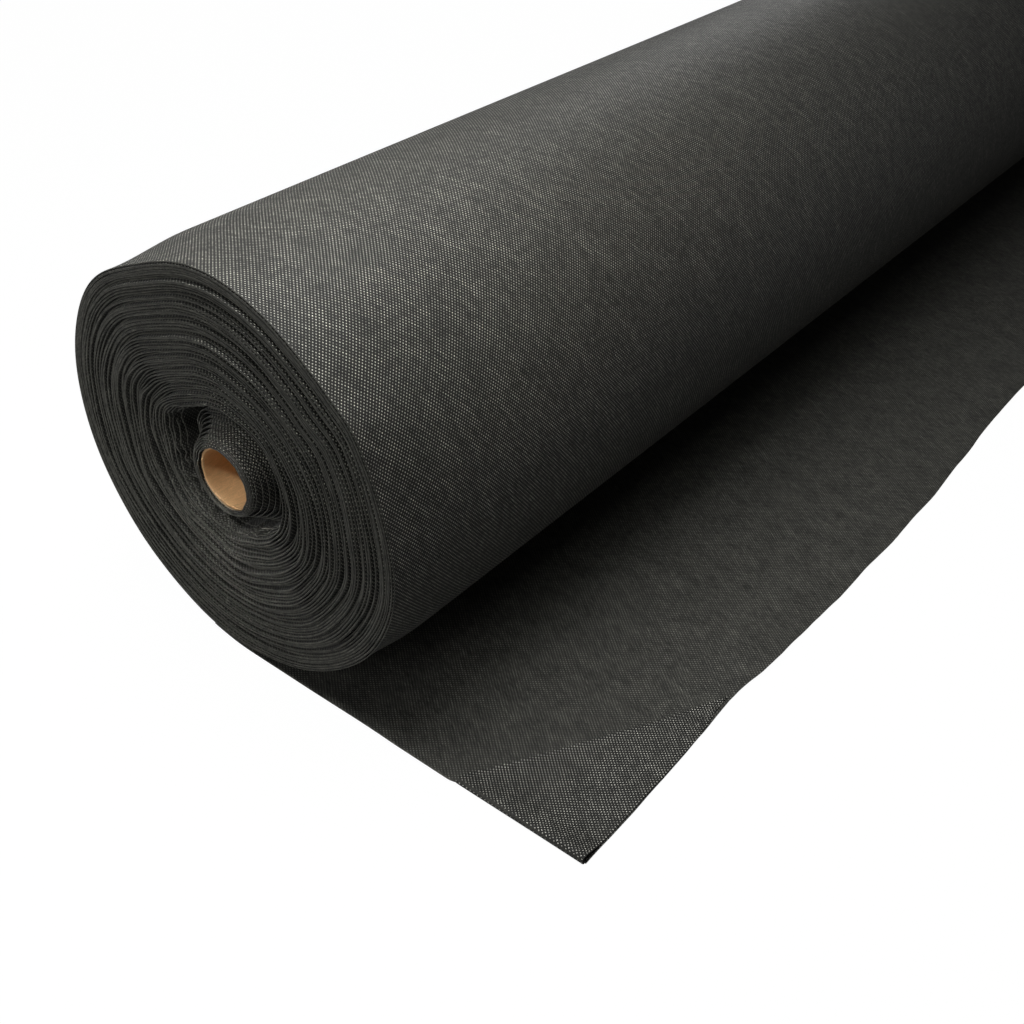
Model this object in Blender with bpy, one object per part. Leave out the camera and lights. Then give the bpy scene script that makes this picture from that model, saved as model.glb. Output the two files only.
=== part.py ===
"""Roll of frost protection fleece on a paperboard core, with its free end laid on the ground.

The roll lies along Y, and the sheet leaves its foot towards +X. The origin is on the ground under the
roll's axis, half way along the roll. Lengths are in metres and +Z is up.
"""

import math

import bmesh
import bpy
import numpy as np
from mathutils import Vector

# The roll
roll_radius = 0.137
web_width = 1.6
running_gap = 0.0003

# The core and the tape that starts the web on it
bore_radius = 0.019
core_wall = 0.0018
core_sides = 48
tape_thickness = 0.0003
tape_width = 0.05
tape_steps = 12

# The winding is one band whose loops stand for several turns of cloth each
loops = 24
points_per_loop = 24
winding_gap = 0.0006
band_end_thickness = 0.0006
inner_loops = 4
inner_bundle_radius = 0.036
groove_width = 0.011
groove_place_share = 0.2

# How far the turns stand forward or back at the near end
groove_depth = 0.02
lip_rise = 0.003
crown_rise = 0.005
lip_loops = 1.5

# The sheet on the ground
web_thickness = 0.001
sheet_tail = 0.025
bend_distance = 0.15
edge_distance_near = 0.267
edge_distance_far = 0.27
edge_sweep_distance = 0.16
edge_sweep_length = 0.25
sheet_steps_across = 7
sheet_steps_along = 48

# Two waves that lift the free edge off the ground
wave_places = (0.21, 0.63)
wave_heights = (0.004, 0.003)
wave_half_widths = (0.045, 0.1)
wave_run_in = 0.07

# The corner that is folded over onto the sheet
corner_distance = 0.174
corner_end_inset = 0.0015
corner_tip_depth = 0.002
corner_length = 0.158
fold_inset = 0.003
notch_run = 0.004
fold_steps = 8
corner_steps = 6

# Edges that turn by more than this many degrees are shaded sharp
sharp_angle = 35

near_end = -web_width / 2
far_end = web_width / 2
axis_height = web_thickness + running_gap + roll_radius


def clear_objects():
    """Removes what the file opened with."""
    for old in list(bpy.data.objects):
        bpy.data.objects.remove(old, do_unlink=True)


def material(name, colour, roughness):
    """A plain material that isn't metal."""
    made = bpy.data.materials.new(name)
    made.use_nodes = True
    shader = made.node_tree.nodes["Principled BSDF"]
    shader.inputs["Base Color"].default_value = (*colour, 1)
    shader.inputs["Roughness"].default_value = roughness
    shader.inputs["Metallic"].default_value = 0
    return made


def pivot(name, place):
    """An empty on a joint's axis, which carries what turns there."""
    empty = bpy.data.objects.new(name, None)
    empty.location = place
    bpy.context.collection.objects.link(empty)
    return empty


def border(rows, columns):
    """The indices round the edge of a grid, in order."""
    index = np.arange(rows * columns).reshape(rows, columns)
    sides = (index[0, :-1], index[:-1, -1], index[-1, :0:-1], index[:0:-1, 0])
    return np.concatenate(sides)


def cells(rows, columns, wraps):
    """The four corners of each cell of a grid, which may close on itself along its rows."""
    index = np.arange(rows * columns).reshape(rows, columns)
    if wraps:
        index = np.vstack([index, index[:1]])
    corners = (index[:-1, :-1], index[1:, :-1], index[1:, 1:], index[:-1, 1:])
    return np.stack([c.ravel() for c in corners], axis=1)


def rims(rows, columns, wraps):
    """Pairs of neighbours along the open edges of a grid."""
    if not wraps:
        loop = border(rows, columns)
        return [(loop, np.roll(loop, -1))]
    index = np.arange(rows * columns).reshape(rows, columns)
    return [(index[:, k], np.roll(index[:, k], -1)) for k in (0, -1)]


def shell(name, outer, inner, finish, carrier, wraps=False):
    """One closed solid between two skins, each a grid of points, joined along their edges."""
    rows, columns, _ = outer.shape
    count = rows * columns
    origin = np.array(carrier.location if carrier else Vector())
    points = np.concatenate([outer.reshape(-1, 3), inner.reshape(-1, 3)]) - origin
    skin = cells(rows, columns, wraps)
    faces = [skin, skin[:, ::-1] + count]
    for here, there in rims(rows, columns, wraps):
        faces.append(np.stack([here, there, there + count, here + count], axis=1))
    mesh = bpy.data.meshes.new(name)
    mesh.from_pydata(points.tolist(), [], np.concatenate(faces).tolist())
    shaped = bmesh.new()
    shaped.from_mesh(mesh)
    bmesh.ops.recalc_face_normals(shaped, faces=shaped.faces)
    shaped.to_mesh(mesh)
    shaped.free()
    mesh.shade_smooth()
    mesh.set_sharp_from_angle(angle=math.radians(sharp_angle))
    mesh.materials.append(finish)
    piece = bpy.data.objects.new(name, mesh)
    bpy.context.collection.objects.link(piece)
    piece.parent = carrier


def round_axis(radius, angle, along):
    """Points round the roll's axis; the angle is zero at the foot and grows towards -X."""
    radius, angle, along = np.broadcast_arrays(radius, angle, along)
    across = -radius * np.sin(angle)
    height = axis_height - radius * np.cos(angle)
    return np.stack([across, along, height], axis=-1)


def core_tube(finish, carrier):
    """The paperboard tube, open at both ends."""
    angle = np.linspace(0, math.tau, core_sides, endpoint=False)[:, None]
    along = np.array([near_end, far_end])[None, :]
    outer = round_axis(bore_radius + core_wall, angle, along)
    inner = round_axis(bore_radius, angle, along)
    shell("core_tube", outer, inner, finish, carrier, wraps=True)


def core_tape(finish, carrier):
    """The strip of tape along the core that holds the start of the web."""
    inside = bore_radius + core_wall + running_gap
    half = tape_width / inside / 2
    angle = np.linspace(-half, half, tape_steps)[:, None]
    along = np.array([near_end, far_end])[None, :]
    outer = round_axis(inside + tape_thickness, angle, along)
    inner = round_axis(inside, angle, along)
    shell("core_tape", outer, inner, finish, carrier)


def winding_faces():
    """Outer radius, inner radius and loop number at each point of the band's path."""
    flat_share = math.cos(math.pi / points_per_loop)
    start = (bore_radius + core_wall + tape_thickness + 2 * running_gap) / flat_share
    turn = np.arange(loops * points_per_loop + 1) / points_per_loop
    groove_start = inner_loops - groove_place_share
    last = roll_radius - band_end_thickness - winding_gap
    outer_start = inner_bundle_radius + groove_width
    outer_end_turn = loops - 1
    radii = (start + band_end_thickness, inner_bundle_radius, outer_start, last)
    places = (0, groove_start, groove_start + 1, outer_end_turn)
    outer = np.interp(turn, places, radii)
    step = 1 / points_per_loop
    outer[turn > outer_end_turn + step / 2] = roll_radius
    under = np.interp(turn - 1, turn, outer) + winding_gap
    pitch = (last - outer_start) / (outer_end_turn - groove_start - 1)
    inner = np.maximum(under, outer - pitch + winding_gap)
    inner[turn < 1 - 1.5 * step] = start
    return outer, inner, turn


def winding_shift(outer, turn):
    """How far back each turn's near edge lies: a cone inside, a groove, then a low crown."""
    groove_start = inner_loops - groove_place_share
    lip = groove_start + 1 + lip_loops
    places = (0, inner_loops / 2, groove_start, groove_start + 1, lip)
    depths = (0, 0, groove_depth, groove_depth, -lip_rise)
    cone = np.interp(turn, places, depths)
    way = np.clip((turn - lip) / (loops - 1 - lip), 0, 1)
    crown = -crown_rise * np.sin(math.pi * way) - lip_rise * (1 - way)
    return np.where(turn < lip, cone, crown)


def least_gap(outer, inner):
    """The least distance between the band's inner face and the outer face of another loop."""
    apart = points_per_loop // 2
    start, end = outer[:-1], outer[1:]
    run = end - start
    offset = inner[:, None] - start[None]
    way = np.clip((offset * run).sum(-1) / (run * run).sum(-1), 0, 1)
    distance = np.linalg.norm(offset - way[..., None] * run[None], axis=-1)
    row = np.arange(len(inner))[:, None]
    column = np.arange(len(start))[None]
    distance[np.abs(row - column) < apart] = np.inf
    return distance.min()


def wound_fleece(finish, carrier):
    """The winding: one unbroken band in a spiral, thin at both of its ends."""
    outer_radius, inner_radius, turn = winding_faces()
    angle = math.tau * (loops - turn)
    shift = winding_shift(outer_radius, turn)
    along = np.stack([near_end + shift, far_end + shift], axis=1)
    outer = round_axis(outer_radius[:, None], angle[:, None], along)
    inner = round_axis(inner_radius[:, None], angle[:, None], along)
    shell("wound_fleece", outer, inner, finish, carrier)
    gap = least_gap(outer[:, 0, ::2], inner[:, 0, ::2])
    print(f"winding: {loops} loops, least gap to itself {gap * 1000:.3f} mm")


def laid_fleece(finish):
    """The stretch of the web that lies under the roll and just in front of it."""
    x = np.array([-sheet_tail, bend_distance - running_gap / 2])
    y = np.array([near_end, far_end])
    x, y = np.meshgrid(x, y, indexing="ij")
    bottom = np.stack([x, y, np.zeros_like(x)], axis=-1)
    top = bottom + (0, 0, web_thickness)
    shell("laid_fleece", top, bottom, finish, None)


def ease(value):
    """A smooth step from 0 to 1."""
    value = np.clip(value, 0, 1)
    return value * value * (3 - 2 * value)


def free_edge(y):
    """How far from the roll's axis the sheet is cut, at each place along the roll."""
    sweep = ease((y - near_end - edge_sweep_distance) / edge_sweep_length)
    return edge_distance_near + (edge_distance_far - edge_distance_near) * sweep


def fold_clearance():
    """The half thickness of the folded corner, which its crease turns within."""
    return web_thickness + running_gap / 2


def free_end(finish, carrier):
    """The free end of the sheet, notched where its corner is folded over, with two waves in its edge."""
    start = bend_distance + running_gap / 2
    notch = near_end + fold_inset + fold_clearance() + running_gap
    along = np.linspace(0, 1, sheet_steps_along)[None, :]
    edge = free_edge(near_end + along * web_width)
    way = np.linspace(0, 1, sheet_steps_across)[:, None]
    before_notch = np.array([start, corner_distance - notch_run])[:, None] + np.zeros_like(edge)
    x = np.vstack([before_notch, corner_distance + way * (edge - corner_distance)])
    side = np.where(x < corner_distance, near_end, notch)
    y = side + along * (far_end - side)
    lift = np.zeros_like(x)
    for place, height, half in zip(wave_places, wave_heights, wave_half_widths):
        bump = ease(1 - np.abs(y - near_end - place) / half)
        lift += height * bump * ease(1 - (edge - x) / wave_run_in)
    bottom = np.stack([x, y, lift], axis=-1)
    top = bottom + (0, 0, web_thickness)
    shell("free_end", top, bottom, finish, carrier)


def turned_corner(finish, carrier):
    """The triangle of cloth that lies on the sheet, with the round fold along its side."""
    centre_y, centre_z = carrier.location.y, carrier.location.z
    end = edge_distance_near - corner_end_inset
    x = np.linspace(corner_distance, end, corner_steps)
    reach = np.linspace(corner_tip_depth, corner_length, corner_steps)
    bend = np.linspace(math.pi * 1.5, math.pi / 2, fold_steps)
    skins = []
    for radius in (running_gap / 2 + web_thickness, running_gap / 2):
        y = np.tile(centre_y + radius * np.cos(bend), (corner_steps, 1))
        z = np.tile(centre_z + radius * np.sin(bend), (corner_steps, 1))
        y = np.column_stack([y, centre_y + reach])
        z = np.column_stack([z, z[:, -1]])
        skins.append(np.stack([np.broadcast_to(x[:, None], y.shape), y, z], axis=-1))
    shell("turned_corner", skins[0], skins[1], finish, carrier)


def build():
    """Makes every piece on its own pivot."""
    clear_objects()
    cloth = material("fleece", (0.05, 0.05, 0.046), 0.85)
    other_face = material("fleece_other_face", (0.075, 0.075, 0.07), 0.7)
    board = material("paperboard", (0.42, 0.25, 0.12), 0.85)
    sticky = material("tape", (0.6, 0.52, 0.38), 0.5)
    roll_axis = pivot("roll_axis", (0, 0, axis_height))
    bend_line = pivot("bend_line", (bend_distance, 0, web_thickness))
    crease_place = (corner_distance, near_end + fold_inset, fold_clearance())
    crease = pivot("crease", crease_place)
    core_tube(board, roll_axis)
    core_tape(sticky, roll_axis)
    wound_fleece(cloth, roll_axis)
    laid_fleece(cloth)
    free_end(cloth, bend_line)
    turned_corner(other_face, crease)


build()
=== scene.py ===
# %% [markdown]
# A roll of frost fleece
#
# The object is a roll of dark spun-bonded fleece, a cloth of melted and pressed plastic fibre that
# gardeners lay over plants. It is wound on a paperboard core. Its free end lies on the ground, and one
# corner of that end is folded over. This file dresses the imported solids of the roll. Each cell first says
# what a piece is on the real object, and then makes it as a surface that is worked out with numpy.

# %% Load the frame
import math

import bpy
import numpy as np
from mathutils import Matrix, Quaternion, Vector


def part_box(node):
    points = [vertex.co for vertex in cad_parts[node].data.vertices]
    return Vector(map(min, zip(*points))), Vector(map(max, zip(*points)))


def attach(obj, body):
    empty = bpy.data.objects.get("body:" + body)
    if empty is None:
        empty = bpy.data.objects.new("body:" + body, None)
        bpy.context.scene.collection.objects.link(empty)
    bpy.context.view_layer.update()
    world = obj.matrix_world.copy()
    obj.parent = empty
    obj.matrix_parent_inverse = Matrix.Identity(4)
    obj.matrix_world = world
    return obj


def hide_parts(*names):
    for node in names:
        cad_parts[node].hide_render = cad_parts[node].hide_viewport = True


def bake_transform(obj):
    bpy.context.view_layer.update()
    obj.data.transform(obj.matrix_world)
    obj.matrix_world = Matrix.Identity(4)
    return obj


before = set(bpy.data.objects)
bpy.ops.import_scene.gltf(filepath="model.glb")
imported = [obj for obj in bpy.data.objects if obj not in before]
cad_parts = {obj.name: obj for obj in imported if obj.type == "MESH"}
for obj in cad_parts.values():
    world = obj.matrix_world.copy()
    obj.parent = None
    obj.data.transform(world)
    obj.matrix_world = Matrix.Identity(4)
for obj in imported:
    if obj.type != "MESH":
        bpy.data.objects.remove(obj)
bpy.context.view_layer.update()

MM = 0.001

core_low, core_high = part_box("core_tube")
wound_low, wound_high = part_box("wound_fleece")

near, far = core_low.y, core_high.y
web_width = far - near
axis_z = (core_low.z + core_high.z) / 2
core_radius = (core_high.x - core_low.x) / 2
roll_radius = (wound_high.x - wound_low.x) / 2
print(f"the roll is {2 * roll_radius / MM:.0f} mm across and {web_width / MM:.0f} mm long")

# %% [markdown]
# The camera
#
# The camera stands where the photograph was taken from: to the right of the roll's near end, looking down
# at it. Its place is given in roll radii from the foot of the near end, so it follows the roll's size. It
# comes first, because every piece after it is judged through it.

# %% Camera
camera_place_share = Vector((3.6683, -2.6291, 4.1273))
camera_turn = math.radians(-38.643)
camera_tilt = math.radians(-37.129)
camera_roll = math.radians(0.477)
camera_lens = 44.25
camera_sensor = 36.0


def add_camera():
    """A camera that looks along a line turned about Z and tilted down, and is rolled a little about it."""
    data = bpy.data.cameras.new("camera")
    data.lens = camera_lens
    data.sensor_width = camera_sensor
    made = bpy.data.objects.new("camera", data)
    ahead = Vector((
        math.sin(camera_turn) * math.cos(camera_tilt),
        math.cos(camera_turn) * math.cos(camera_tilt),
        math.sin(camera_tilt),
    ))
    made.rotation_mode = "QUATERNION"
    made.rotation_quaternion = ahead.to_track_quat("-Z", "Y") @ Quaternion((0, 0, 1), camera_roll)
    made.location = camera_place_share * roll_radius + Vector((0, near, axis_z - roll_radius))
    bpy.context.scene.collection.objects.link(made)
    bpy.context.scene.camera = made
    return made


camera = add_camera()
print("the camera stands at", [round(c, 3) for c in camera.location])

# %% [markdown]
# Writing shader maths as sums
#
# A node tree is easier to read when its maths looks like maths. The class below wraps one output socket.
# Adding, taking away or multiplying wrapped sockets adds Math nodes, and its method node adds any other
# node from its type, its settings and the values or links of its sockets.

# %% A socket with arithmetic
class Shade:
    """One output socket of a shader tree, with arithmetic that adds Math nodes."""

    def __init__(self, tree, socket=None):
        self.tree = tree
        self.socket = socket

    def node(self, kind, settings, inputs, output=0):
        """A node of this kind, with its settings made first, then the values or links of its inputs."""
        made = self.tree.nodes.new(kind)
        for name, value in settings.items():
            setattr(made, name, value)
        for name, value in inputs.items():
            if isinstance(value, Shade):
                self.tree.links.new(value.socket, made.inputs[name])
            else:
                made.inputs[name].default_value = value
        return Shade(self.tree, made.outputs[output])

    def beside(self, output):
        """Another output of the same node."""
        return Shade(self.tree, self.socket.node.outputs[output])

    def maths(self, operation, *values):
        """A Math node on sockets and numbers."""
        return self.node("ShaderNodeMath", {"operation": operation}, dict(enumerate(values)))

    def __add__(self, other):
        return self.maths("ADD", self, other)

    def __radd__(self, other):
        return self.maths("ADD", other, self)

    def __sub__(self, other):
        return self.maths("SUBTRACT", self, other)

    def __rsub__(self, other):
        return self.maths("SUBTRACT", other, self)

    def __mul__(self, other):
        return self.maths("MULTIPLY", self, other)

    def __rmul__(self, other):
        return self.maths("MULTIPLY", other, self)

    def cosine(self):
        """The cosine, of an angle in radians."""
        return self.maths("COSINE", self)

    def step(self, low, high):
        """A smooth step from 0 at low to 1 at high."""
        inputs = {"Value": self, "From Min": low, "From Max": high}
        return self.node("ShaderNodeMapRange", {"interpolation_type": "SMOOTHSTEP"}, inputs)

    def tint(self, colour):
        """A colour made lighter or darker by this factor."""
        settings = {"operation": "SCALE"}
        return self.node("ShaderNodeVectorMath", settings, {0: colour, "Scale": self})

    def between(self, first, second):
        """A colour that goes from the first to the second as this goes from 0 to 1."""
        inputs = {"Factor": self, 6: first, 7: second}
        return self.node("ShaderNodeMix", {"data_type": "RGBA"}, inputs, 2)

    def feed(self, shader, socket):
        """Links this to a socket of a shader node."""
        self.tree.links.new(self.socket, shader.inputs[socket])


def new_material(name):
    """A material, its shader node, and an empty Shade to start its lines from."""
    material = bpy.data.materials.new(name)
    material.use_nodes = True
    shader = material.node_tree.nodes["Principled BSDF"]
    return material, shader, Shade(material.node_tree)


# %% [markdown]
# The fleece's finish
#
# Spun-bonded fleece is a mat of fine fibres that a hot patterned roller has pinched together at thousands
# of points, which stand in a diamond lattice. Here the points are the peaks of a product of two cosines:
# it is high at every crossing of the lattice and again at every centre between four of them. The cloth is
# dull between the points, and each point is a small melted pit that shines. The fibres lie mostly aslant
# across the web, so the noise for them is drawn out that way, in three layers turned by different angles.
# Cut edges are paler, because loose fibre ends stand out from them, and the points stop just short of
# them. The points are painted brighter at the roll's near end: a painted highlight that stands in for the
# glint of the lamps there. The outside of the web shows its points crisply and the inside is duller. The
# upper face of the turned corner is the outside face again with its points painted brighter, a painted
# highlight for the glint of light on the flap, so one function makes all three. The pattern reads each
# piece's own map in metres, and so it follows the cloth round every turn and fold.

# %% Fleece material
lattice_along = 2.74 * MM
lattice_across = 2.32 * MM
fibre_turns = tuple(math.radians(turn) for turn in (-34, -22, 12))
fuzz_run = 1.5 * MM
plain_edge = 0.8 * MM
# painted highlight: how far from the near cut edge the points are painted brighter, for the lamps' glint
highlight_near, highlight_far = 90 * MM, 300 * MM
fibre_grain = (9 * MM, 0.9 * MM)
streak_grain = (45 * MM, 2.5 * MM)
cloud_grain = (22 * MM, 14 * MM)
patch_grain = (5 * MM, 5 * MM)
fibre_middle = 0.5 * len(fibre_turns)
fibre_roughness = 0.15
cloud_contrast = 1.1
plain_tone, fuzz_tone = 0.85, 1.8


def cloth_grain(start, along, across, detail, turn=0.0):
    """Noise on the cloth's map, with grains of this length along the web and this width across it."""
    cloth = start.node("ShaderNodeUVMap", {"uv_map": "cloth"}, {})
    mapping = {"Vector": cloth, "Scale": (along, across, 1), "Rotation": (0, 0, turn)}
    placed = start.node("ShaderNodeMapping", {"vector_type": "TEXTURE"}, mapping)
    inputs = {"Vector": placed, "Scale": 1.0, "Detail": detail, "Roughness": 0.6}
    return start.node("ShaderNodeTexNoise", {"noise_dimensions": "2D"}, inputs)


def from_edge(start):
    """How far in from the nearer cut edge a place is: the distance across, folded at half the web's width."""
    cloth = start.node("ShaderNodeUVMap", {"uv_map": "cloth"}, {})
    across = start.node("ShaderNodeSeparateXYZ", {}, {0: cloth}, 1)
    return start.maths("PINGPONG", across, web_width / 2)


def edge_fuzz(start):
    """1 at the web's cut edges and 0 a little way in."""
    return from_edge(start).step(fuzz_run, 0.2 * fuzz_run)


def bond_points(start, cut):
    """Bond points: the product of a cosine along the web and one across it, cut by a smooth step."""
    cloth = start.node("ShaderNodeUVMap", {"uv_map": "cloth"}, {})
    along = start.node("ShaderNodeSeparateXYZ", {}, {0: cloth})
    across = along.beside(1)
    wave = (along * (math.tau / lattice_along)).cosine() * (across * (math.tau / lattice_across)).cosine()
    whole = wave.step(*cut) * from_edge(start).step(plain_edge, 1.6 * plain_edge)
    return whole * (0.5 + cloth_grain(start, *patch_grain, 1).step(0.3, 0.6) * 0.5)


def painted_highlight_end(start):
    """1 by the near cut edge and 0 further along: a painted highlight, the points painted bright for the
    lamps' glint there.
    """
    cloth = start.node("ShaderNodeUVMap", {"uv_map": "cloth"}, {})
    return start.node("ShaderNodeSeparateXYZ", {}, {0: cloth}, 1).step(highlight_far, highlight_near)


def fleece(name, ground, point, ground_roughness, point_roughness, cut, relief, contrast, streak, painted_highlight):
    """A face of the fleece: colours of its ground and points, their roughness, relief and unevenness."""
    material, shader, start = new_material(name)
    points = bond_points(start, cut)
    fibres = sum(cloth_grain(start, *fibre_grain, 3, turn) for turn in fibre_turns)
    streaks = sum(cloth_grain(start, *streak_grain, 3, turn).step(0.5, 0.75) for turn in fibre_turns[:2])
    clouds = cloth_grain(start, *cloud_grain, 5)
    tone = 1 + (fibres - fibre_middle) * contrast + streaks * streak + (clouds - 0.5) * cloud_contrast
    tone = tone * (plain_tone + edge_fuzz(start) * fuzz_tone)
    # painted highlight: the points are painted brighter towards the roll's near end, for the glint of the
    # lamps there
    highlit_tone = tone * (1 + painted_highlight_end(start) * painted_highlight)
    points.between(tone.tint(ground), highlit_tone.tint(point)).feed(shader, "Base Color")
    rough = ground_roughness - points * (ground_roughness - point_roughness)
    rough = rough + (fibres - fibre_middle) * fibre_roughness
    rough.feed(shader, "Roughness")
    height = (fibres - points) * relief
    bump = start.node("ShaderNodeBump", {}, {"Height": height, "Distance": 1.0, "Strength": 0.8})
    bump.feed(shader, "Normal")
    shader.inputs["Sheen Weight"].default_value = 0.15
    shader.inputs["Sheen Roughness"].default_value = 0.5
    return material


outside_face = fleece(
    "fleece_outside",
    ground=(0.018, 0.0178, 0.0146),
    point=(0.53, 0.525, 0.45),
    ground_roughness=0.66,
    point_roughness=0.3,
    cut=(0.45, 0.8),
    relief=0.09 * MM,
    contrast=1.2,
    streak=0.6,
    painted_highlight=0.4,
)
inside_face = fleece(
    "fleece_inside",
    ground=(0.048, 0.0475, 0.04),
    point=(0.25, 0.247, 0.215),
    ground_roughness=0.75,
    point_roughness=0.5,
    cut=(0.15, 0.8),
    relief=0.07 * MM,
    contrast=1.6,
    streak=0.35,
    painted_highlight=0.0,
)
# Painted highlight: the outside face again, with its points painted brighter for the glint of light on the
# turned corner.
highlit_turned_face = fleece(
    "fleece_turned_highlit",
    ground=(0.02, 0.0198, 0.0165),
    point=(0.86, 0.85, 0.75),
    ground_roughness=0.66,
    point_roughness=0.3,
    cut=(0.42, 0.78),
    relief=0.09 * MM,
    contrast=1.0,
    streak=0.2,
    painted_highlight=0.0,
)
print("fleece faces:", outside_face.name, inside_face.name, highlit_turned_face.name)

# %% [markdown]
# The paperboard's finish
#
# A core is wound from strips of brown paperboard that run round it in a helix. Their edges leave faint
# helical lines, and the board has short fibres and a soft speckle. A helix on a tube is a straight
# slanting line on its unrolled map, so one saw-tooth of a sum of both map directions draws all the seams.

# %% Paperboard material
ply_width = 62 * MM
ply_slant = 0.8
board_fibre = (1.2 * MM, 6 * MM)
board_speckle = (0.8 * MM, 0.8 * MM)
board_colour = (0.9, 0.56, 0.27)
board_relief = 0.04 * MM


def paperboard():
    """Brown board: noise for fibres and speckle, and a thin dark line where each strip meets the next."""
    material, shader, start = new_material("paperboard")
    cloth = start.node("ShaderNodeUVMap", {"uv_map": "cloth"}, {})
    around = start.node("ShaderNodeSeparateXYZ", {}, {0: cloth})
    helix = (around + around.beside(1) * ply_slant) * (1 / ply_width)
    seam = helix.maths("PINGPONG", helix.maths("FRACT", helix), 0.5).step(0.02, 0.0)
    fibres = cloth_grain(start, *board_fibre, 3)
    speckle = cloth_grain(start, *board_speckle, 2)
    tone = 0.85 + (fibres - 0.5) * 0.35 + (speckle - 0.5) * 0.3 - seam * 0.2
    tone.tint(board_colour).feed(shader, "Base Color")
    height = (fibres + speckle - seam) * board_relief
    bump = start.node("ShaderNodeBump", {}, {"Height": height, "Distance": 1.0, "Strength": 0.6})
    bump.feed(shader, "Normal")
    shader.inputs["Roughness"].default_value = 0.55
    return material


board = paperboard()

# %% [markdown]
# Surfaces from grids
#
# Every piece is a grid of points with a place on the cloth for each. A grid may close on itself along its
# rows, along its columns or both, as a tube or a ring does. The signed volume of the finished cells tells
# whether they face outward: if it is negative, each cell's corners are taken the other way round.

# %% A mesh from a grid
def corners(index):
    """The four corners of each cell of a grid of indices."""
    cells = (index[:-1, :-1], index[1:, :-1], index[1:, 1:], index[:-1, 1:])
    return np.stack(cells, axis=-1).reshape(-1, 4)


def closed(index, rows, columns):
    """The grid of indices, with its first row or column again at its end where it closes on itself."""
    if rows:
        index = np.vstack([index, index[:1]])
    if columns:
        index = np.hstack([index, index[:, :1]])
    return index


def signed_volume(points, cells):
    """Six times the volume under the cells: the sum of triple products of their corners."""
    a, b, c, d = (points[cells[:, k]] for k in range(4))
    return float((np.cross(b, c) * a).sum() + (np.cross(c, d) * a).sum())


def put_mesh(name, points, cells, cloth, cloth_cells, finishes, finish_of=None, ends=()):
    """A mesh object from points and cells, with its cloth map, and faces that close its ends."""
    if signed_volume(points - points.mean(axis=0), cells) < 0:
        cells, cloth_cells = cells[:, ::-1], cloth_cells[:, ::-1]
        ends = [end[::-1] for end in ends]
    mesh = bpy.data.meshes.new(name)
    mesh.from_pydata(points.tolist(), [], cells.tolist() + [list(end) for end in ends])
    layer = mesh.uv_layers.new(name="cloth")
    end_places = [cloth[:1].repeat(len(end), axis=0) for end in ends]
    places = np.concatenate([cloth[cloth_cells.ravel()], *end_places])
    layer.uv.foreach_set("vector", places.astype(np.float32).ravel())
    for finish in finishes:
        mesh.materials.append(finish)
    if finish_of is not None:
        which = np.concatenate([finish_of, np.zeros(len(ends))]).astype(np.int32)
        mesh.polygons.foreach_set("material_index", which)
    mesh.shade_smooth()
    made = bpy.data.objects.new(name, mesh)
    bpy.context.scene.collection.objects.link(made)
    print(f"{name}: {len(points)} points, {2 * len(cells)} triangles")
    return made


# %% [markdown]
# How the web is wound
#
# The web is one strip of cloth, wound from the core outward in sixty-odd turns. Its path is known when
# the radius is known at each turn number, because the angle is a whole turn for each unit of it. Near the
# core the turns are tight and nearly level. The next ones draw back like a cone into a hollow, where the
# last few lie loose and crumpled, and the rest make the thick outer pack. Neither the hollow nor the pack
# is round. A table says how far a turn rises or falls at each angle, with a row for each of several shares
# of the radius, and its last two rows are the flats of the rim. Small groups of turns are dented here and
# there. Each of these is a table of places, joined by smooth or straight lines. Most of the rises were
# measured on the photograph by a program that follows its turns, and the dents were placed one by one.

# %% Turn numbers and radii
turn_count = 66.0
cone_turn, groove_turn, wall_turn, pack_turn = 5.0, 11.15, 11.55, 15.0

shape_shares = (0.344, 0.465, 0.60, 0.73, 0.83, 0.92, 0.97, 1.0)
rim_rises = (-1.2, 0.4, -0.2, -0.1, -0.2, 0.1, 0.1, 0.5, 0.6, 0.1, -4.0, -4.1,
             -0.6, 0.3, -0.9, -1.1, -0.4, -1.6, -0.8, -0.6, -2.0, -3.4, -3.6, -2.6)
shape_rises = np.array((
    (-4.7, -4.7, -4.7, -3.4, -2.0, 0.1, 0.8, 5.5, 7.3, 2.8, -0.2, -0.6,
     1.4, 3.5, 4.5, 5.8, 5.2, 3.8, 1.8, 0.1, -2.7, -5.2, -7.5, -7.5),
    (-6.2, -6.3, -6.9, -6.0, -3.7, -1.7, -0.5, 2.2, 3.9, 2.6, 0.5, 0.1,
     2.4, 4.3, 5.6, 6.1, 5.4, 5.7, 3.7, 2.5, -0.2, -2.9, -4.8, -5.8),
    (-5.0, -5.5, -6.0, -5.0, -2.1, -0.6, -0.2, 2.8, 4.3, 3.0, -0.3, -1.1,
     1.6, 3.3, 3.7, 4.4, 4.7, 4.3, 2.9, 2.5, -0.9, -2.3, -4.0, -4.5),
    (-4.0, -4.1, -4.1, -3.1, -0.7, 0.6, 0.5, 3.0, 3.7, 2.7, -1.1, -2.0,
     1.0, 2.5, 2.5, 2.6, 4.0, 2.6, 1.7, 1.8, -1.3, -1.9, -3.0, -3.8),
    (-3.0, -2.1, -1.4, -0.5, 1.1, 2.7, 1.8, 3.4, 3.8, 2.7, -1.4, -2.4,
     0.5, 1.7, 1.4, 0.7, 2.3, 0.5, 0.2, 0.2, -2.2, -3.0, -3.9, -3.9),
    (-3.4, -3.3, -3.3, -2.2, -1.5, 0.0, 0.4, 1.8, 2.6, 2.0, -1.9, -2.4,
     1.3, 2.6, 1.6, 1.9, 3.2, 1.0, 0.9, 0.9, -1.5, -2.9, -3.9, -3.8),
    rim_rises,
    rim_rises,
)) * MM
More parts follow.
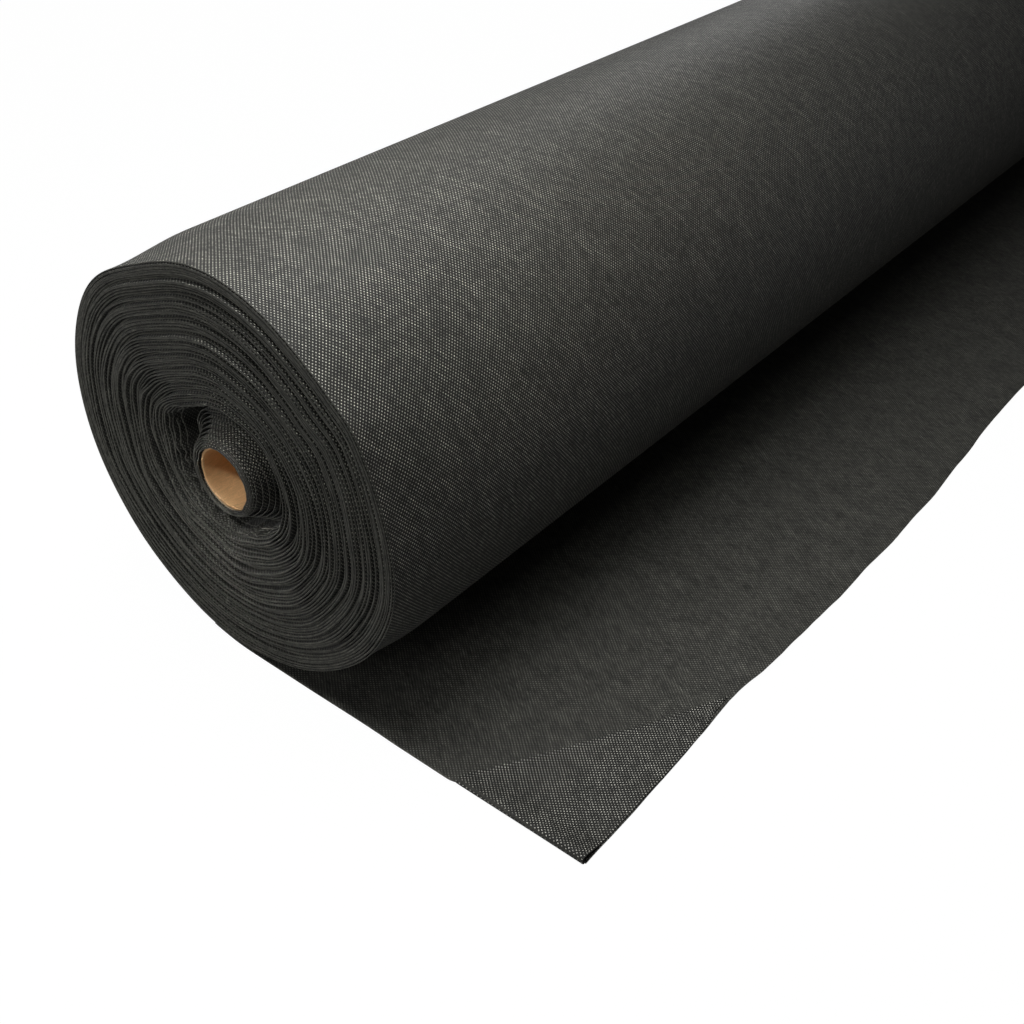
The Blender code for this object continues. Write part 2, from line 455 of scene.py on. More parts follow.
groove_reaches = np.array((30.4, 30.4, 30.2, 30, 30, 30, 30, 31.2, 34.6, 39.5, 42.5, 42.2,
                           44.2, 46.3, 47.3, 48.3, 48, 46.6, 44.6, 42.9, 39.8, 37, 33.6, 31.2)) * MM
rim_limit = 0.35 * MM
web_half = 0.52 * MM
wrap_half = 0.36 * MM
first_gap = 0.8 * MM
cone_radius, hollow_radius = 26.4 * MM, 47.2 * MM
loose_step = 3.6 * MM
core_sway, core_sway_angle = 2.0 * MM, math.radians(95)
rim_pitch = 1.5 * MM
loose_shares = (0.1, 0.4, 1, 0.7, 0.1)
slow_uneven, fine_uneven = 0.25 * MM, 0.08 * MM
steps_per_turn = 160

dent_turns = np.array((50.0, 50.0, 50.0, 26.0, 40.0, 66.0))
dent_spreads = np.array((10.0, 11.0, 9.0, 9.0, 10.0, 7.0))
dent_angles = np.radians((227.0, 236.5, 216.5, 119.0, 70.0, 234.0))
dent_widths = np.radians((4.5, 4.5, 4.0, 6.0, 5.0, 6.0))
dent_depths = np.array((-1.1, 1.3, -0.6, 0.9, 0.5, 1.6)) * MM


def round_table(table, angle):
    """A smooth closed curve through places evenly spaced round the roll, by sums of cosines."""
    waves = np.fft.rfft(table) / len(table)
    order = np.arange(len(waves))
    weight = np.where((order == 0) | (order == len(table) // 2), 1, 2) * waves
    return (weight * np.exp(1j * order * angle[..., None])).real.sum(axis=-1)


def wander(angle, turn, orders, drift, seed, count=14):
    """Uneven winding: cosines that close round the roll and change from turn to turn, about 1 in size."""
    chance = np.random.default_rng(seed)
    order = chance.integers(orders[0], orders[1] + 1, count)
    slope = chance.uniform(-drift, drift, count)
    phase = chance.uniform(0, math.tau, count)
    total = np.zeros(np.broadcast(angle, turn).shape)
    for wave in zip(order, slope, phase):
        total += np.cos(wave[0] * angle + wave[1] * turn + wave[2])
    return total * math.sqrt(2 / count)


def smooth(value):
    """A smooth step from 0 to 1: three squares less two cubes."""
    value = np.clip(value, 0, 1)
    return value * value * (3 - 2 * value)


def web_angle(turn):
    """The angle from the foot towards -X, which falls to zero as the last turn reaches the foot."""
    return math.tau * (turn_count - turn)


def turn_shape(angle, share):
    """How far a turn stands out at each angle: smooth round every row of the table, straight between rows."""
    rows = np.stack([round_table(row, angle) for row in shape_rises])
    place = np.interp(share, shape_shares, np.arange(len(shape_shares)))
    low = np.minimum(place.astype(int), len(shape_shares) - 2)
    at = np.arange(len(angle))
    return rows[low, at] * (1 - place + low) + rows[low + 1, at] * (place - low)


def web_radius(turn):
    """The radius of the web's middle line at each turn number."""
    angle = web_angle(turn)
    places = (0, cone_turn, groove_turn, wall_turn, pack_turn, turn_count - 1, turn_count)
    last = roll_radius - wrap_half
    start = core_radius + web_half + first_gap
    wall_radius = hollow_radius - loose_step
    radii = (start, cone_radius, cone_radius, wall_radius, hollow_radius, last - rim_pitch, last)
    base = np.interp(turn, places, radii)
    filled = np.interp(turn, (cone_turn, groove_turn, wall_turn), (0, 1, 0))
    base = base + filled * (round_table(groove_reaches, angle) - cone_radius)
    shape = turn_shape(angle, base / roll_radius) * np.interp(turn, (groove_turn, wall_turn), (0, 1))
    sway = core_sway * np.interp(turn, (1, cone_turn, groove_turn), (0, 1, 0))
    loose_places = (cone_turn, groove_turn, pack_turn, turn_count - 9, turn_count - 2)
    loose = np.interp(turn, loose_places, loose_shares)
    uneven = wander(angle, turn, (3, 9), 0.35, 5) * slow_uneven
    uneven = uneven + wander(angle, turn, (2, 14), 3.0, 6) * fine_uneven
    dents = 0
    dent_rows = zip(dent_turns, dent_spreads, dent_angles, dent_widths, dent_depths)
    for place, spread, middle, width, depth in dent_rows:
        away = (angle - middle + math.pi) % math.tau - math.pi
        dents = dents + depth * np.exp(-((away / width) ** 2) - ((turn - place) / spread) ** 2)
    total = base + shape + sway * np.cos(angle - core_sway_angle) + uneven * loose + dents
    return np.minimum(total, roll_radius + rim_limit - wrap_half)


turn_test = np.linspace(0, turn_count, int(turn_count) * steps_per_turn + 1)
pitch = web_radius(turn_test[steps_per_turn:]) - web_radius(turn_test[:-steps_per_turn])
print(f"turns stand {pitch.min() / MM:.2f} to {pitch.max() / MM:.2f} mm apart")
print(f"a turn is {2 * web_half / MM:.2f} mm thick")

# %% [markdown]
# Where each turn's edge lies
#
# The web is cut to one width, so a turn whose near edge stands back stands out by as much at the far end.
# The first turns stand a little proud, and the next ones draw back into the hollow. The outer pack stands
# a little proud half way out, a few groups of turns are set back from their neighbours, and every turn
# wanders by some tenths of a millimetre.

# %% Edge shift
shift_turns = (
    0, 1.5, 3.5, cone_turn, groove_turn, wall_turn, 13, 14, pack_turn, 17, 34, 61, 64.6, turn_count
)
shift_depths = np.array((-2.0, -1.6, -0.8, 0.9, 17, 11, 6, 3, 0.5, -1.5, -4.5, -1.2, -0.6, 0.2)) * MM
shallow_share = 0.7
setback_turns = np.array((
    17.5, 20.1, 24.0, 30.3, 34.1, 37.3, 42.7, 47.0, 52.1, 55.6, 59.1, 61.5, 25.9, 32.5, 39.6, 53.6, 57.9,
))
setback_depths = np.array((
    2.0, 2.6, 3.0, 2.4, 2.6, 2.0, 2.6, 3.0, 2.6, 3.4, 2.6, 0.8, -1.2, -1.2, -1.0, -1.2, -1.2,
)) * MM
setback_width, setback_sway = 0.7, 0.8
quick_waver, slow_waver = 0.7 * MM, 0.4 * MM
crumple_depth = 1.2 * MM
crumple_angle, deep_angle = math.radians(65), math.radians(20)


def groove_share(turn):
    """1 for the loose turns in the groove, less where they lie tidily, and 0 for turns far from it."""
    tidy = 0.6 + 0.4 * np.cos(web_angle(turn) - crumple_angle)
    return tidy * np.exp(-(((turn - (groove_turn + pack_turn) / 2) / 1.5) ** 2))


def web_shift(turn):
    """How far back from the roll's end each turn's near edge lies."""
    angle = web_angle(turn)
    base = np.interp(turn, shift_turns, shift_depths)
    shallow = np.interp(turn, (cone_turn, groove_turn, wall_turn), (0, 1, 0))
    base = base * (1 - shallow_share * shallow * (0.5 - 0.5 * np.cos(angle - deep_angle)))
    steps = np.zeros_like(turn)
    for place, depth in zip(setback_turns, setback_depths):
        away = turn - place + setback_sway * np.sin(angle + place)
        steps += depth * np.exp(-((away / setback_width) ** 2))
    loose = np.interp(turn, (cone_turn, groove_turn, pack_turn, 50, turn_count - 3), (0.1, 1, 1, 0.6, 0.1))
    own = wander(angle, turn, (0, 3), 3.0, 8) * quick_waver + wander(angle, turn, (2, 7), 0.5, 9) * slow_waver
    crumple = wander(angle, turn, (9, 26), 1.5, 10) * crumple_depth * groove_share(turn)
    return base + steps + own * loose + crumple


# %% [markdown]
# The wound turns
#
# Each turn is a real strip: a flat ring-shaped profile, rounded at its two edges, that is carried along
# the spiral. The profile runs from the far edge along the outer face to the near edge, and back along the
# inner face. Its two faces get the two faces of the cloth. A long roll has too many turns for one piece,
# so the winding is made in three stretches, which meet end to end.

# %% A strip carried along a path
lip_points = 7
lip_run = 4 * MM
rim_curl, rim_curl_run, rim_curl_turns = 2.1 * MM, 2.0 * MM, 1.4
lip_waver, crumple_lean = 0.09 * MM, 0.9 * MM
puff_waver = 0.12


def spiral_frame(turn):
    """Place across, height and outward direction of the web's middle line; outward is square to its run."""
    angle, radius = web_angle(turn), web_radius(turn)
    across, height = -radius * np.sin(angle), axis_z - radius * np.cos(angle)
    step_across, step_height = np.gradient(across), np.gradient(height)
    length = np.hypot(step_across, step_height)
    return across, height, step_height / length, -step_across / length


def web_length(turn):
    """Length of web up to each turn number, added up over a fine division of the spiral."""
    angle, radius = web_angle(turn_test), web_radius(turn_test)
    run = np.hypot(np.diff(radius * np.sin(angle)), np.diff(radius * np.cos(angle)))
    return np.interp(turn, turn_test, np.concatenate([[0], np.cumsum(run)]))


def strip_profile(half, runs):
    """The ring round a strip: its far edge, outer face, near edge and inner face.

    Each edge is a half circle. The rows are the inset from an edge, the offset outward, the distance on
    the cloth from that edge, and which edge it is. Runs are the insets of the points on the faces.
    """
    bend = np.linspace(-math.pi / 2, math.pi / 2, lip_points)
    lip = np.stack([half * (1 - np.cos(bend)), half * np.sin(bend), half * np.abs(bend)])
    more = half * (math.pi / 2 - 1)
    outer = np.stack([runs[::-1], np.full(len(runs), half), runs[::-1] + more])
    inner = np.stack([runs, np.full(len(runs), -half), runs + more])
    ring = np.hstack([lip, outer, lip[:, ::-1], inner])
    at_far = np.arange(ring.shape[1]) < lip_points
    return (*ring, at_far)


def carry(path, shift, profile, lean=0.0, puff=1.0):
    """Points of a profile carried along a path, with each ring moved back by its shift."""
    across, height, out_across, out_height = (row[:, None] for row in path)
    inset, outward, _, at_far = profile
    along = np.where(at_far, far - inset, near + inset) + shift[:, None]
    offset = outward * puff + lean
    points = (across + out_across * offset, along, height + out_height * offset)
    return np.stack(np.broadcast_arrays(*points), axis=-1)


def strip_cloth(run, profile):
    """Cloth places of a profile: length along the web and distance across it, closed round the ring."""
    _, _, distance, at_far = profile
    across = np.where(at_far, web_width - distance, distance)
    across = np.append(across, across[0])
    return np.stack(np.broadcast_arrays(run[:, None], across[None]), axis=-1)


def ring_mesh(name, points, cloth, finishes, inner_columns=None, closes=False):
    """A mesh of rings in a row, which closes on itself or gets a face at each end."""
    rows, columns, _ = points.shape
    index = np.arange(rows * columns).reshape(rows, columns)
    places = np.arange(cloth[..., 0].size).reshape(cloth.shape[:2])
    cells = corners(closed(index, closes, True))
    ends = () if closes else (index[0].tolist(), index[-1, ::-1].tolist())
    finish_of = None
    if inner_columns is not None:
        finish_of = np.tile(inner_columns, len(cells) // columns)
    flat = cloth.reshape(-1, 2)
    return put_mesh(name, points.reshape(-1, 3), cells, flat, corners(places), finishes, finish_of, ends)


# %% Three stretches of the winding
def lip_lean(turn, profile):
    """How far the near edges lean out or in, fading to nothing behind them.

    The crumpled turns in the groove lean most, and the first turns curl in over the core's rim.
    """
    inset, _, _, at_far = profile
    fade = np.where(at_far, 0, 1 - np.clip(inset / lip_run, 0, 1))
    long_fade = np.where(at_far, 0, 1 - np.clip(inset / (3 * lip_run), 0, 1))
    curl_fade = np.where(at_far, 0, 1 - np.clip(inset / rim_curl_run, 0, 1))
    angle = web_angle(turn)
    small = wander(angle, turn, (4, 30), 3.0, 11) * lip_waver
    large = wander(angle, turn, (12, 34), 1.2, 12) * crumple_lean * groove_share(turn)
    curl = -rim_curl * np.exp(-((turn / rim_curl_turns) ** 2))
    curl = curl * (1 + puff_waver * wander(angle, turn, (3, 11), 1.0, 13))
    return small[:, None] * fade + large[:, None] * long_fade + curl[:, None] * curl_fade


def lip_puff(turn):
    """How thick the cut edge looks, as a share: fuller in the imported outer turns, and uneven everywhere."""
    places = (0, cone_turn, groove_turn, pack_turn, 30, 48, 60, turn_count - 1)
    full = np.interp(turn, places, (0.7, 0.6, 0.55, 1.0, 1.15, 1.3, 1.35, 1.25))
    return full * (1 + puff_waver * wander(web_angle(turn), turn, (1, 9), 3.0, 14))


def wound_piece(name, first, last, stations, runs):
    """One stretch of the winding as a ring-shaped profile carried along the spiral."""
    turn = np.linspace(first, last, int((last - first) * stations) + 1)
    profile = strip_profile(web_half, np.array(runs))
    puff = lip_puff(turn)[:, None]
    points = carry(spiral_frame(turn), web_shift(turn), profile, lip_lean(turn, profile), puff)
    sides = profile[1] + np.roll(profile[1], -1)
    cloth = strip_cloth(web_length(turn), profile)
    made = ring_mesh(name, points, cloth, (outside_face, inside_face), sides < 0)
    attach(made, "roll")
    return made


inner_end, middle_end = 16.0, 40.0
inner_stations, outer_stations = 220, 160
curl_top = 1.1 * MM
inner_runs = (curl_top, rim_curl_run, lip_run, 3 * lip_run)
wound_piece("inner_turns", 0.0, inner_end, inner_stations, inner_runs)
wound_piece("middle_turns", inner_end, middle_end, outer_stations, (lip_run,))
wound_piece("outer_turns", middle_end, turn_count - 1, outer_stations, (lip_run,))

# %% [markdown]
# The outermost turn
#
# The last turn is the one that is seen all along the roll, so it is made with a fine grid on its outer
# face. It is the same strip, pushed in or out a little: slow ripples where the turns below are uneven,
# and three slanting creases that start at the near edge, where a flat of the rim ends. Past a short
# shoulder it stands at the roll's full radius, so the flats of the rim fade out along the roll.

# %% Outermost turn
crease_starts = np.radians((238, 246, 255))
crease_slants = np.array((0.85, 0.9, 0.85))
crease_lengths = np.array((0.09, 0.075, 0.055))
crease_heights = np.array((-1.1, -0.9, -0.7)) * MM
shoulder_run = 45 * MM
crease_width, crease_spread, crease_bend = 3.0 * MM, 0.015, 1.2
ripple_run, ripple_depth, ripple_base = 0.11, 0.16 * MM, 0.25 * MM
wrap_stations = 361
fine_reach, fine_step = 0.4, 6 * MM
coarse_reach, coarse_step = 0.41, 0.02


def wrap_push(angle, distance):
    """Ripples and creases of the outermost turn: cosines over angle and distance, and slanting valleys."""
    push = wander(angle, distance / ripple_run, (2, 9), 1.0, 21) * ripple_depth - ripple_base
    for start, slant, length, height in zip(crease_starts, crease_slants, crease_lengths, crease_heights):
        centre = start + slant * np.sin(distance / length * crease_bend)
        width = (crease_width + distance * crease_spread) / roll_radius
        valley = np.exp(-(((angle - centre) / width) ** 2))
        push = push + height * valley * np.exp(-((distance / length) ** 2))
    return push


def outer_wrap():
    """The last turn, whose outer face has a grid fine enough for its ripples."""
    turn = np.linspace(turn_count - 1, turn_count, wrap_stations)
    fine_runs = np.arange(lip_run, fine_reach, fine_step)
    runs = np.concatenate([fine_runs, np.arange(coarse_reach, web_width - lip_run, coarse_step)])
    profile = strip_profile(wrap_half, runs)
    inset, _, _, at_far = profile
    distance = np.where(at_far, web_width - inset, inset)
    fade = np.clip(distance / (3 * lip_run), 0, 1)
    room = roll_radius - wrap_half - web_radius(turn)[:, None]
    shoulder = room * smooth(np.minimum(distance, web_width - distance) / shoulder_run)
    push = wrap_push(web_angle(turn)[:, None], distance[None]) * fade
    lean = np.minimum(shoulder + push, room + rim_limit)
    points = carry(spiral_frame(turn), web_shift(turn), profile, lean)
    sides = profile[1] + np.roll(profile[1], -1)
    cloth = strip_cloth(web_length(turn), profile)
    made = ring_mesh("outer_wrap", points, cloth, (outside_face, inside_face), sides < 0)
    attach(made, "roll")
    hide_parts("wound_fleece")
    return made


outer_wrap()

# %% [markdown]
# The core
#
# The core is a plain tube of wound board with a wall of under two millimetres, cut flush with the cloth.
# Its cut ends are a little rough. It is the same ring-shaped profile, carried round a circle that closes
# on itself.

# %% Core tube
board_points = np.array([v.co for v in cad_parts["core_tube"].data.vertices])
bore_radius = np.hypot(board_points[:, 0], board_points[:, 2] - axis_z).min()
rim_wear, wear_run = 0.1 * MM, 2 * MM
core_stations = 192
core_runs = np.array([3, 30, 200]) * MM


def core_tube_board():
    """A tube: the strip's profile carried round a circle, with a small unevenness at the cut ends."""
    half = (core_radius - bore_radius) / 2
    middle = bore_radius + half
    angle = np.linspace(0, math.tau, core_stations, endpoint=False)
    path = (-middle * np.sin(angle), axis_z - middle * np.cos(angle), -np.sin(angle), -np.cos(angle))
    profile = strip_profile(half, core_runs)
    wear = wander(angle, 0 * angle, (2, 24), 1.0, 31)[:, None] * rim_wear * np.exp(-profile[0] / wear_run)
    points = carry(path, 0 * angle, profile, wear)
    cloth = strip_cloth(np.append(angle, math.tau) * middle, profile)
    made = ring_mesh("core_tube_board", points, cloth, (board,), closes=True)
    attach(made, "roll")
    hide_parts("core_tube")
    return made


core_tube_board()
print(f"the core's bore is {2 * bore_radius / MM:.1f} mm across")

# %% [markdown]
# The strip of tape under the first turn
#
# The tape that starts the web on the core is hidden in the winding. Its solid stays as it is, and gets a
# creped paper finish: fine wrinkles across it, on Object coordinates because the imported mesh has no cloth
# map.

# %% Tape finish
crepe_scale = (90, 900, 90)
crepe_relief = 0.1 * MM


def creped_paper():
    """Pale paper with wrinkles: noise that is drawn out round the core."""
    material, shader, start = new_material("creped_paper")
    place = start.node("ShaderNodeTexCoord", {}, {}, "Object")
    placed = start.node("ShaderNodeMapping", {}, {"Vector": place, "Scale": crepe_scale})
    wrinkle = start.node("ShaderNodeTexNoise", {}, {"Vector": placed, "Scale": 1.0, "Detail": 3.0})
    (0.8 + wrinkle * 0.4).tint((0.56, 0.47, 0.33)).feed(shader, "Base Color")
    start.node("ShaderNodeBump", {}, {"Height": wrinkle, "Distance": crepe_relief}).feed(shader, "Normal")
    shader.inputs["Roughness"].default_value = 0.6
    return material


tape_finish = creped_paper()
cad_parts["core_tape"].data.materials.clear()
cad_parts["core_tape"].data.materials.append(tape_finish)

# %% [markdown]
# The sheet on the ground
#
# The web leaves the roll at its foot and lies on the ground as far as its cut end. Behind the foot it
# hangs just clear of the roll and hugs it for a little way up, where the last turn comes down, so its
# start shows only as one more edge among the turns. It is never quite flat: it has low swells all over,
# its cut end lies in shallow scallops, and a few waves lift that end off the ground. The height is a sum
# of such swells over both map directions, and the waves are smooth humps that start some way in from the
# cut. Most places of the cut were measured on the photograph by a program that looks for its edge.

# %% The lie of the sheet
sheet_half = 0.28 * MM
sheet_rest = 0.35 * MM
tail_length = 36 * MM
tail_angles = np.radians((0, 5, 10, 15))
tail_clearances = np.array((0.95, 0.85, 0.75, 0.7)) * MM

edge_place_share = np.array((
    0.02, 0.34, 0.58, 0.74, 0.90, 0.98, 1.06, 1.14, 1.22, 1.30, 1.38, 1.46, 1.54, 1.70, 1.86, 1.94,
    2.10, 2.42, 2.74, 2.98, 3.20, 3.40, 3.60, 3.80, 4.20, 4.60, 6.0, 7.6, 9.2, 10.6, 11.7,
))
edge_reach_share = np.array((
    1.942, 1.942, 1.938, 1.936, 1.932, 1.925, 1.919, 1.915, 1.920, 1.932, 1.950, 1.959, 1.964, 1.959, 1.958,
    1.964, 1.972, 1.972, 1.980, 1.976, 1.979, 1.966, 1.955, 1.948, 1.929, 1.931, 1.94, 1.95, 1.94, 1.95, 1.94,
))
scallop_pitch, scallop_depth = 71 * MM, 0.7 * MM
scallop_start, scallop_full = 200 * MM, 500 * MM

wave_places = np.array((210, 630, 980, 1370)) * MM
wave_heights = np.array((4.4, 3.0, 2.0, 2.6)) * MM
wave_half_widths = np.array((50, 95, 80, 110)) * MM
wave_run_in = 75 * MM
low_length, low_height = 90 * MM, 0.3 * MM
foot_clear, foot_run = 40 * MM, 60 * MM
curl_pitch, curl_height, curl_run = 53 * MM, 0.5 * MM, 22 * MM


def free_edge(y):
    """How far from the axis the web is cut: straight lines through the table's places, and scallops."""
    distance = y - near
    reach = np.interp(distance, edge_place_share * roll_radius, edge_reach_share * roll_radius)
    fine = np.sin(distance / scallop_pitch * math.tau) + 0.6 * np.sin(distance / scallop_pitch * 3.7 + 1)
    grown = 0.25 + 0.75 * smooth(distance / scallop_full - 1)
    return reach + scallop_depth * fine * grown * smooth(distance / scallop_start)


def swells(x, y, length, seed, count=18):
    """Low swells over the sheet: cosines of about this length in chance directions, about 1 in size."""
    chance = np.random.default_rng(seed)
    turn = chance.uniform(0, math.tau, count)
    rate = math.tau / length * chance.uniform(0.6, 1.6, count)
    phase = chance.uniform(0, math.tau, count)
    total = np.zeros(np.broadcast(x, y).shape)
    for wave in zip(rate * np.cos(turn), rate * np.sin(turn), phase):
        total += np.cos(wave[0] * x + wave[1] * y + wave[2])
    return total * math.sqrt(2 / count)


def tail_place(run):
    """Place across and height of the stretch behind the foot, which hugs the roll a little way up."""
    angle = -run / roll_radius
    radius = roll_radius + np.interp(angle, tail_angles, tail_clearances)
    return -radius * np.sin(angle), np.maximum(axis_z - radius * np.cos(angle), sheet_rest)


def sheet_height(x, y):
    """The height of the cloth's middle: its rest, the waves at its cut end and low swells."""
    inward = free_edge(y) - x
    height = np.full(np.broadcast(x, y).shape, sheet_rest)
    for place, rise, half in zip(wave_places, wave_heights, wave_half_widths):
        hump = smooth(1 - np.abs(y - near - place) / half)
        height = height + rise * hump * smooth(1 - inward / wave_run_in)
    clear = smooth((x - foot_clear) / foot_run)
    low = np.maximum(swells(x, y, low_length, 41) + 0.3, 0) * low_height
    curl = np.maximum(np.sin((y - near) / curl_pitch * math.tau), 0) * curl_height
    curl = curl * smooth(1 - inward / curl_run)
    return height + clear * (low + curl)


# %% Two faces and a rim from one surface
rim_rows, rim_shares = (0, 1, 2), (0.25, 0.85, 1)


def cloth_mesh(name, middle, half, cloth, finishes):
    """A thin closed cloth: its middle surface pushed both ways along its normal, less so at its border.

    The normal is the cross product of the grid's two differences. The first finish is the upper face's.
    """
    rows, columns, _ = middle.shape
    normal = np.cross(np.gradient(middle, axis=0), np.gradient(middle, axis=1))
    normal /= np.linalg.norm(normal, axis=-1, keepdims=True)
    row_rim = np.minimum(np.arange(rows), np.arange(rows)[::-1])
    column_rim = np.minimum(np.arange(columns), np.arange(columns)[::-1])
    rim = np.minimum(row_rim[:, None], column_rim[None])
    push = normal * np.interp(rim, rim_rows, rim_shares)[..., None] * half
    upper, lower = middle + push, middle - push
    index = np.arange(rows * columns).reshape(rows, columns)
    skin = corners(index)
    loop = np.concatenate([index[0, :-1], index[:-1, -1], index[-1, :0:-1], index[:0:-1, 0]])
    after, count = np.roll(loop, -1), rows * columns
    edge = np.stack([after, loop, loop + count, after + count], axis=1)
    points = np.concatenate([upper.reshape(-1, 3), lower.reshape(-1, 3)])
    cells = np.concatenate([skin, skin[:, ::-1] + count, edge])
    finish_of = np.repeat((0, 1, 1), (len(skin), len(skin), len(edge)))
    flat = np.tile(cloth.reshape(-1, 2), (2, 1))
    return put_mesh(name, points, cells, flat, cells, finishes, finish_of)


# %% The laid sheet
fold_start_x = 174 * MM
fold_end_x = free_edge(near + 2 * MM)
fold_inset = 2.6 * MM
step_in_run = 6 * MM


def laid_sheet():
    """The web from behind the foot to its cut end; its near side steps in where the corner is folded over.

    The grid is closest where the end bends up, at its two side edges and at the near end.
    """
    behind = np.linspace(0, 0.98, 40) * tail_length - tail_length
    to_bend, at_bend = np.linspace(0, 0.54, 30), np.linspace(0.55, 0.59, 14)
    ahead = np.concatenate([to_bend, at_bend, np.linspace(0.6, 0.997, 52), (0.9985, 1.0)])
    near_steps = np.concatenate([[0, 0.3], np.linspace(1, 30, 12), np.linspace(33, 330, 90)])
    far_steps = np.concatenate([np.linspace(336, 1570, 150), (1585, 1599, 1599.7, 1600)])
    y_share = np.concatenate([near_steps, far_steps]) / far_steps[-1]
    y = near + y_share[None] * web_width + np.zeros(len(behind) + len(ahead))[:, None]
    run = np.vstack([behind[:, None] + 0 * y[: len(behind)], ahead[:, None] * free_edge(y[len(behind):])])
    step_in = fold_inset * smooth((run[:, :1] - fold_start_x + step_in_run) / (2 * step_in_run))
    y = y + step_in * (1 - y_share[None])
    tail_x, tail_z = tail_place(np.minimum(run, 0))
    x = np.where(run < 0, tail_x, run)
    z = np.where(run < 0, tail_z, sheet_height(x, y))
    middle = np.stack([x, y, z], axis=-1)
    cloth = np.stack([run, y - near], axis=-1)
    made = cloth_mesh("laid_sheet", middle, sheet_half, cloth, (inside_face, outside_face))
    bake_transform(made)
    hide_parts("laid_fleece", "free_end")
    reach = float(free_edge(np.linspace(near, far, 400)).mean() + tail_length)
    return made


laid_sheet()

# %% [markdown]
# The folded corner
#
# The near corner of the web's end is folded over along its side, so that a triangle of the other face
# lies on the sheet. The fold isn't pressed: it is a soft loop, low where it starts and open by a few
# millimetres at the cut end. The surface is a section carried along the fold. The section goes from under
# the loop round to the top, falls to the sheet in a slope, and runs flat to the diagonal cut. The flap
# stays low, and it bends over a narrow band of cloth beside the fold.

# %% Folded corner
loop_height_start = 2.6 * MM
loop_height_end = 5.6 * MM
loop_slope = 11 * MM
corner_inset = 0.8 * MM
fold_plain = 5.5 * MM
corner_far = 158 * MM
far_slant = 5 * MM
corner_near = 4 * MM
fold_line = near + fold_inset * 0.85
loop_reach = fold_inset * 0.6
over_clear = 2.4 * sheet_half
tip_rise, tip_run = 0.6 * MM, 8 * MM
swell_length, swell_rise, swell_run = 45 * MM, 0.12 * MM, 20 * MM
loop_rise_rate = 1.05
slant_rate, slant_start = 3.3, 2.3


def folded_corner():
    """The section at each place: a half ellipse for the loop, a falling slope, then the sheet's height."""
    way = np.concatenate([(0, 0.003), np.linspace(0.01, 0.99, 90), (0.997, 1)])[:, None]
    x = fold_start_x + way * (fold_end_x - corner_inset - fold_start_x)
    top = loop_height_start + (loop_height_end - loop_height_start) * smooth(way * loop_rise_rate)
    depth = corner_near + way * (corner_far - corner_near)
    bend = np.linspace(-math.pi / 2, math.pi / 2, 15)[None]
    low = sheet_rest
    mid, tall = (top + low) / 2, (top - low) / 2
    loop_y = fold_line - np.cos(bend) * loop_reach
    loop_z = mid + np.sin(bend) * tall
    under_y = fold_line + np.linspace(1.4, 0.35, 4)[None] * MM
    by_loop, on_slope = np.linspace(0.0005, 0.04, 8), np.linspace(0.05, 0.25, 16)
    over = np.concatenate([by_loop, on_slope, np.linspace(0.28, 0.985, 60), (0.996, 1)])[None]
    over_y = fold_line + over * depth
    rest = sheet_height(x, over_y) + over_clear
    fall = np.exp(-((over * depth / loop_slope) ** 2))
    tip = tip_rise * smooth(1 - (1 - over) * depth / tip_run)
    low_swell = np.maximum(swells(x, over_y, swell_length, 51), 0) * swell_rise
    low_swell = low_swell * smooth(over * depth / swell_run)
    over_z = rest * (1 - fall) + (top + 0 * over_y) * fall + tip + low_swell
    y = np.hstack([under_y + 0 * x, loop_y + 0 * x, over_y])
    z = np.hstack([low + 0 * under_y + 0 * x, loop_z, over_z])
    x = x - far_slant * way * smooth((y - near) / corner_far * slant_rate - slant_start)
    middle = np.stack([x, y, z], axis=-1)
    run = np.cumsum(np.hstack([0 * x[:, :1], np.hypot(np.diff(y), np.diff(z))]), axis=1)
    cloth = np.stack([x, run - fold_plain], axis=-1)
    # the turned corner's upper face carries the painted highlight of brighter points
    made = cloth_mesh("corner_flap", middle, sheet_half, cloth, (highlit_turned_face, inside_face))
    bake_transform(made)
    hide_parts("turned_corner")
    width, length = float(x.max() - x.min()), float(run.max())
    return made


folded_corner()

# %% [markdown]
# The floor and the light
#
# The floor is a wide pale plane. Light Path's camera ray brings its colour close to white where the
# camera sees it, and keeps some of the object's shadow on it. Three soft lamps hang over the near end, a
# small close one and two wide ones, because the light in the photograph falls off along the roll. A weak
# narrow one shines into the core, a low one stands in front, and one behind lights the side that the
# photograph doesn't show. The world adds a faint even light.

# %% Floor
floor_half = 12.0
floor_tone, floor_grain, floor_seen_tone = 0.3, 0.03, 0.5
floor_glow, floor_glow_share = 1.02, 0.97


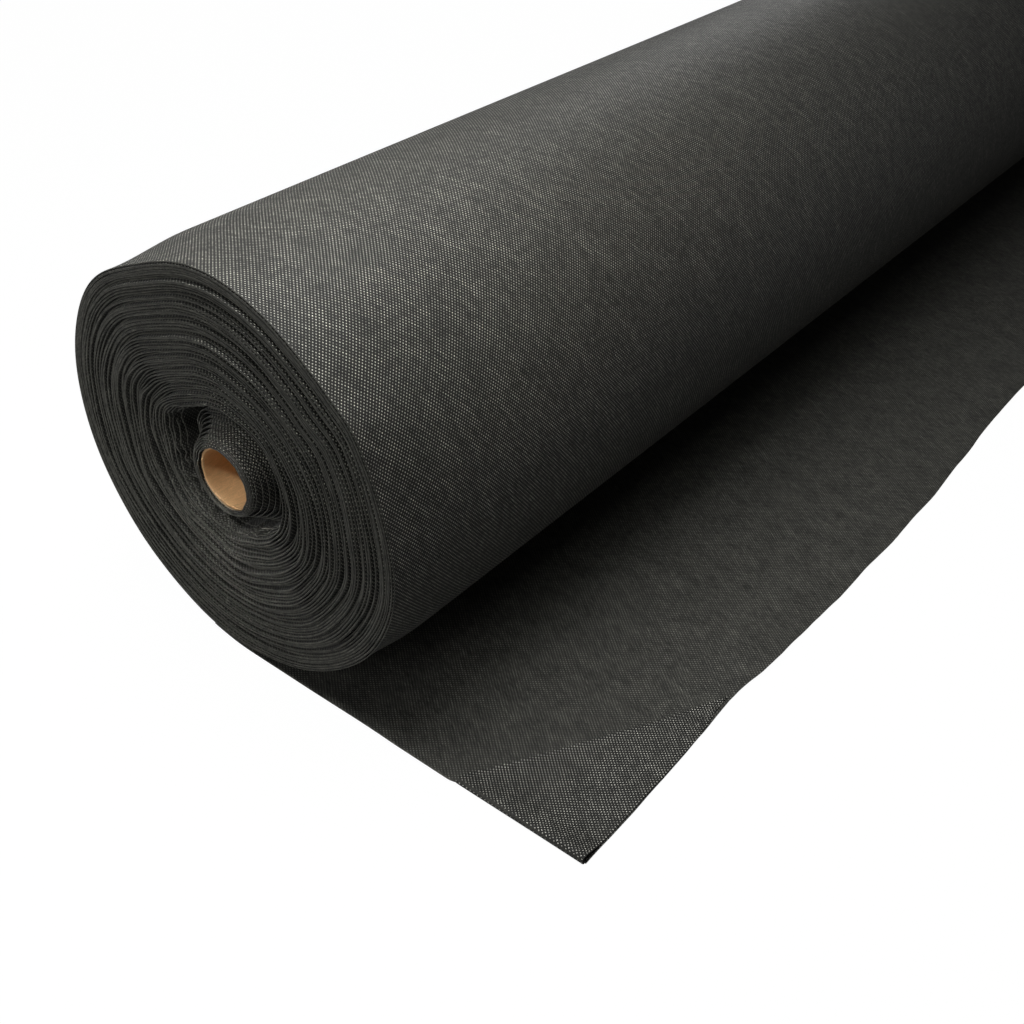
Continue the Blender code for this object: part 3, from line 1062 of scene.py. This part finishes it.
def add_floor():
    """A square on the ground, whose shader mixes a pale surface with a white glow for camera rays."""
    mesh = bpy.data.meshes.new("floor")
    signs = ((-1, -1), (1, -1), (1, 1), (-1, 1))
    places = [(floor_half * across, floor_half * along, 0) for across, along in signs]
    mesh.from_pydata(places, [], [(0, 1, 2, 3)])
    made = bpy.data.objects.new("floor", mesh)
    bpy.context.scene.collection.objects.link(made)
    material, shader, start = new_material("pale_floor")
    seen = start.node("ShaderNodeLightPath", {}, {}, "Is Camera Ray")
    grain = start.node("ShaderNodeTexNoise", {}, {"Scale": 40.0, "Detail": 3.0})
    tone = floor_tone + grain * floor_grain + seen * floor_seen_tone
    tone.tint((1.0, 1.0, 1.0)).feed(shader, "Base Color")
    shader.inputs["Roughness"].default_value = 0.9
    glow = start.node("ShaderNodeEmission", {}, {"Color": (1, 1, 1, 1), "Strength": floor_glow})
    surface = Shade(start.tree, shader.outputs[0])
    mixed = start.node("ShaderNodeMixShader", {}, {0: seen * floor_glow_share, 1: surface, 2: glow})
    start.tree.links.new(mixed.socket, start.tree.nodes["Material Output"].inputs["Surface"])
    mesh.materials.append(material)
    return made


add_floor()

# %% Lamps and world
def add_lamp(name, place, target, size, power, spread=math.pi):
    """A rectangular lamp that faces its target, and whose light may be held to a narrower spread."""
    data = bpy.data.lights.new(name, "AREA")
    data.shape = "RECTANGLE"
    data.size, data.size_y = size
    data.energy = power
    data.spread = spread
    made = bpy.data.objects.new(name, data)
    made.location = place
    made.rotation_mode = "QUATERNION"
    made.rotation_quaternion = (Vector(target) - Vector(place)).to_track_quat("-Z", "Y")
    bpy.context.scene.collection.objects.link(made)
    return made


add_lamp("near_key", (0.0, -0.72, 0.72), (0.0, -0.7, 0.1), (0.4, 0.4), 2.1)
add_lamp("core_light", (0.02, -1.02, 0.5), (0.0, -0.795, 0.12), (0.05, 0.05), 0.005, math.radians(14))
add_lamp("long_key", (-0.25, -0.5, 1.1), (0.0, -0.6, 0.1), (1.0, 1.6), 1.7)
add_lamp("top_right", (0.25, -0.7, 1.2), (0.1, -0.7, 0.1), (0.8, 0.8), 1.8)
add_lamp("back", (-1.3, 2.1, 1.1), (0.0, 0.6, 0.1), (0.9, 0.9), 9.0)
add_lamp("front_low", (-0.1, -2.2, 0.6), (0.0, -0.8, 0.1), (0.8, 0.8), 4.4)

sky_level = 0.025
world = bpy.data.worlds.new("studio")
world.use_nodes = True
bpy.context.scene.world = world
sky = Shade(world.node_tree)
sky_seen = sky.node("ShaderNodeLightPath", {}, {}, "Is Camera Ray")
world.node_tree.nodes["Background"].inputs["Color"].default_value = (1, 1, 1, 1)
(sky_level + sky_seen * (1 - sky_level)).feed(world.node_tree.nodes["Background"], "Strength")
bpy.context.scene.view_settings.view_transform = "Standard"
